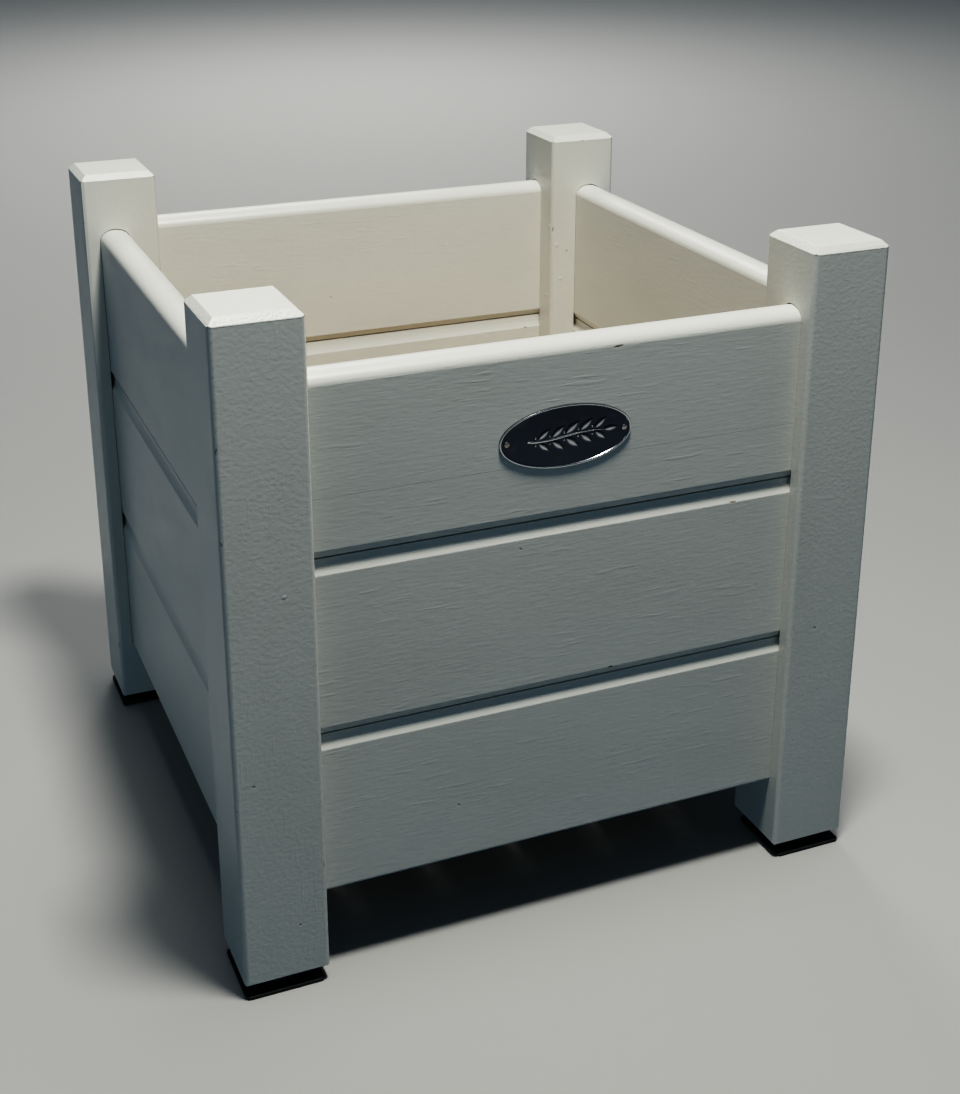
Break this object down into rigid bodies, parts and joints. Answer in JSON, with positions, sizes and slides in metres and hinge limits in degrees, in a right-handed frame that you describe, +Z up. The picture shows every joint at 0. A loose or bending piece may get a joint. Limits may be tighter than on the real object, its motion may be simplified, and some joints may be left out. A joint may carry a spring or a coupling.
{
  "type": "raised planter on legs",
  "caption": "Square painted timber planter with tongued-and-grooved board walls housed in chamfered corner posts that stand on pads, a slatted floor and an oval metal plaque.",
  "frame": {"origin": "on the ground, under the middle of the planter", "axes": "+Z up; the plaque is on the -Y face; +X to the right when looking at the plaque"},
  "size_m": [0.553, 0.553, 0.562],
  "materials": {
    "painted_timber": "satin off-white paint over timber, with faint grain and brush marks",
    "bare_timber": "sawn, oiled softwood with open grain",
    "rubber_pad": "matt black sheet",
    "black_plastic": "moulded matt black",
    "polished_plaque": "polished, lightly dulled pressed metal",
    "plaque_pin_steel": "dulled steel",
    "fastener_steel": "zinc-plated"
  },
  "bodies": {
    "root": {"bearer_back": "bare_timber", "bearer_front": "bare_timber", "bearer_screws": "fastener_steel", "board_back_bottom": "painted_timber", "board_back_middle": "painted_timber", "board_back_top": "painted_timber", "board_front_bottom": "painted_timber", "board_front_middle": "painted_timber", "board_front_top": "painted_timber", "board_left_bottom": "painted_timber", "board_left_middle": "painted_timber", "board_left_top": "painted_timber", "board_right_bottom": "painted_timber", "board_right_middle": "painted_timber", "board_right_top": "painted_timber", "foot_glide_back_left": "black_plastic", "foot_glide_back_right": "black_plastic", "foot_glide_front_left": "black_plastic", "foot_glide_front_right": "black_plastic", "foot_pad_back_left": "rubber_pad", "foot_pad_back_right": "rubber_pad", "foot_pad_front_left": "rubber_pad", "foot_pad_front_right": "rubber_pad", "foot_screws": "fastener_steel", "oval_plaque": "polished_plaque", "pins_back_left": "fastener_steel", "pins_back_right": "fastener_steel", "pins_front_left": "fastener_steel", "pins_front_right": "fastener_steel", "plaque_pins": "plaque_pin_steel", "post_back_left": "painted_timber", "post_back_right": "painted_timber", "post_front_left": "painted_timber", "post_front_right": "painted_timber", "slat_1": "bare_timber", "slat_2": "bare_timber", "slat_3": "bare_timber", "slat_4": "bare_timber", "slat_5": "bare_timber", "slat_6": "bare_timber", "slat_screws": "fastener_steel"}
  },
  "joints": []
}
